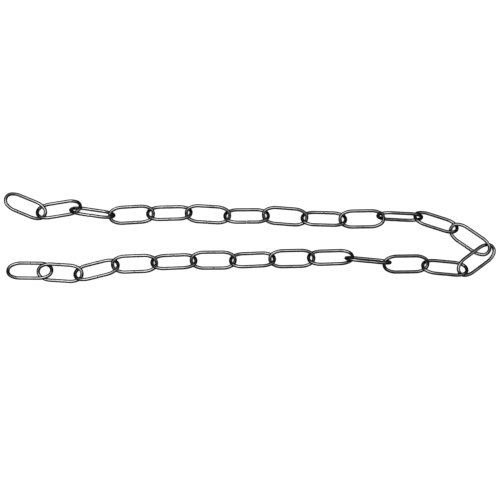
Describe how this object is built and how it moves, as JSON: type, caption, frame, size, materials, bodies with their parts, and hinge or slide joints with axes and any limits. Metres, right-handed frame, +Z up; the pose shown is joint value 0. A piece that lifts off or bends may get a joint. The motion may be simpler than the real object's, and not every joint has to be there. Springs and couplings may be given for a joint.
{
  "type": "length of long-link iron wire chain",
  "caption": "Length of long-link iron wire chain, its loose oblong links lying on a floor in a flat hairpin.",
  "frame": {"origin": "on the floor under the middle of the laid chain's box", "axes": "+X along the two runs towards the bend, +Y from the front run to the back run, +Z up from the floor"},
  "size_m": [0.4414, 0.0824, 0.0176],
  "materials": {
    "iron_wire": "bare drawn iron wire, bright and gone dark grey"
  },
  "bodies": {
    "link_01": {"link_01": "iron_wire"},
    "link_02": {"link_02": "iron_wire"},
    "link_03": {"link_03": "iron_wire"},
    "link_04": {"link_04": "iron_wire"},
    "link_05": {"link_05": "iron_wire"},
    "link_06": {"link_06": "iron_wire"},
    "link_07": {"link_07": "iron_wire"},
    "link_08": {"link_08": "iron_wire"},
    "link_09": {"link_09": "iron_wire"},
    "link_10": {"link_10": "iron_wire"},
    "link_11": {"link_11": "iron_wire"},
    "link_12": {"link_12": "iron_wire"},
    "link_13": {"link_13": "iron_wire"},
    "link_14": {"link_14": "iron_wire"},
    "link_15": {"link_15": "iron_wire"},
    "link_16": {"link_16": "iron_wire"},
    "link_17": {"link_17": "iron_wire"},
    "link_18": {"link_18": "iron_wire"},
    "link_19": {"link_19": "iron_wire"},
    "link_20": {"link_20": "iron_wire"},
    "link_21": {"link_21": "iron_wire"},
    "link_22": {"link_22": "iron_wire"},
    "link_23": {"link_23": "iron_wire"},
    "link_24": {"link_24": "iron_wire"},
    "link_25": {"link_25": "iron_wire"},
    "link_26": {"link_26": "iron_wire"}
  },
  "joints": [
    {"name": "swivel_12", "type": "hinge", "parent": "link_13", "child": "link_12", "pos_m": [0.1839, 0.0053, 0.0048], "axis": [0, 0, 1], "range_deg": [-30, 5]},
    {"name": "swivel_11", "type": "hinge", "parent": "link_12", "child": "link_11", "pos_m": [0.152, 0.0156, 0.0067], "axis": [0, 0, -1], "range_deg": [-6, 17]},
    {"name": "swivel_10", "type": "hinge", "parent": "link_11", "child": "link_10", "pos_m": [0.1184, 0.0157, 0.0076], "axis": [0, 0, 1], "range_deg": [-30, 6]},
    {"name": "swivel_09", "type": "hinge", "parent": "link_10", "child": "link_09", "pos_m": [0.0847, 0.0149, 0.0047], "axis": [0, 0, -1], "range_deg": [-7, 13]},
    {"name": "swivel_08", "type": "hinge", "parent": "link_09", "child": "link_08", "pos_m": [0.0503, 0.0163, 0.0044], "axis": [0, 0, 1], "range_deg": [-11, 8]},
    {"name": "swivel_07", "type": "hinge", "parent": "link_08", "child": "link_07", "pos_m": [0.0157, 0.0189, 0.0044], "axis": [0, 0, -1], "range_deg": [-10, 24]},
    {"name": "swivel_06", "type": "hinge", "parent": "link_07", "child": "link_06", "pos_m": [-0.019, 0.0189, 0.0044], "axis": [0, 0, 1], "range_deg": [-11, 12]},
    {"name": "swivel_05", "type": "hinge", "parent": "link_06", "child": "link_05", "pos_m": [-0.0537, 0.0215, 0.0044], "axis": [0, 0, -1], "range_deg": [-11, 23]},
    {"name": "swivel_04", "type": "hinge", "parent": "link_05", "child": "link_04", "pos_m": [-0.088, 0.0213, 0.0043], "axis": [0, 0, 1], "range_deg": [-30, 11]},
    {"name": "swivel_03", "type": "hinge", "parent": "link_04", "child": "link_03", "pos_m": [-0.1224, 0.0194, 0.0065], "axis": [0, 0, -1], "range_deg": [-18, 30]},
    {"name": "swivel_02", "type": "hinge", "parent": "link_03", "child": "link_02", "pos_m": [-0.1552, 0.0258, 0.0062], "axis": [0, 0, 1], "range_deg": [-5, 30]},
    {"name": "swivel_01", "type": "hinge", "parent": "link_02", "child": "link_01", "pos_m": [-0.1861, 0.0236, 0.0043], "axis": [0, 0, -1], "range_deg": [-30, 12]},
    {"name": "swivel_14", "type": "hinge", "parent": "link_13", "child": "link_14", "pos_m": [0.2109, -0.014, 0.0046], "axis": [0, 0, 1], "range_deg": [-5, 30]},
    {"name": "swivel_15", "type": "hinge", "parent": "link_14", "child": "link_15", "pos_m": [0.1894, -0.0314, 0.0047], "axis": [0, 0, -1], "range_deg": [-30, 5]},
    {"name": "swivel_16", "type": "hinge", "parent": "link_15", "child": "link_16", "pos_m": [0.1566, -0.0277, 0.0048], "axis": [0, 0, 1], "range_deg": [-6, 12]},
    {"name": "swivel_17", "type": "hinge", "parent": "link_16", "child": "link_17", "pos_m": [0.1224, -0.0261, 0.0072], "axis": [0, 0, -1], "range_deg": [-14, 6]},
    {"name": "swivel_18", "type": "hinge", "parent": "link_17", "child": "link_18", "pos_m": [0.0891, -0.0212, 0.0072], "axis": [0, 0, 1], "range_deg": [-7, 30]},
    {"name": "swivel_19", "type": "hinge", "parent": "link_18", "child": "link_19", "pos_m": [0.0555, -0.0206, 0.0047], "axis": [0, 0, -1], "range_deg": [-12, 8]},
    {"name": "swivel_20", "type": "hinge", "parent": "link_19", "child": "link_20", "pos_m": [0.0209, -0.0213, 0.0044], "axis": [0, 0, 1], "range_deg": [-9, 10]},
    {"name": "swivel_21", "type": "hinge", "parent": "link_20", "child": "link_21", "pos_m": [-0.0141, -0.0222, 0.0044], "axis": [0, 0, -1], "range_deg": [-15, 10]},
    {"name": "swivel_22", "type": "hinge", "parent": "link_21", "child": "link_22", "pos_m": [-0.049, -0.0223, 0.0044], "axis": [0, 0, 1], "range_deg": [-14, 10]},
    {"name": "swivel_23", "type": "hinge", "parent": "link_22", "child": "link_23", "pos_m": [-0.0839, -0.0239, 0.0044], "axis": [0, 0, -1], "range_deg": [-10, 10]},
    {"name": "swivel_24", "type": "hinge", "parent": "link_23", "child": "link_24", "pos_m": [-0.1184, -0.026, 0.0043], "axis": [0, 0, 1], "range_deg": [-22, 12]},
    {"name": "swivel_25", "type": "hinge", "parent": "link_24", "child": "link_25", "pos_m": [-0.151, -0.0333, 0.0041], "axis": [0, 0, -1], "range_deg": [-26, 15]},
    {"name": "swivel_26", "type": "hinge", "parent": "link_25", "child": "link_26", "pos_m": [-0.1808, -0.0309, 0.0039], "axis": [0, 0, 1], "range_deg": [-15, 25]}
  ]
}
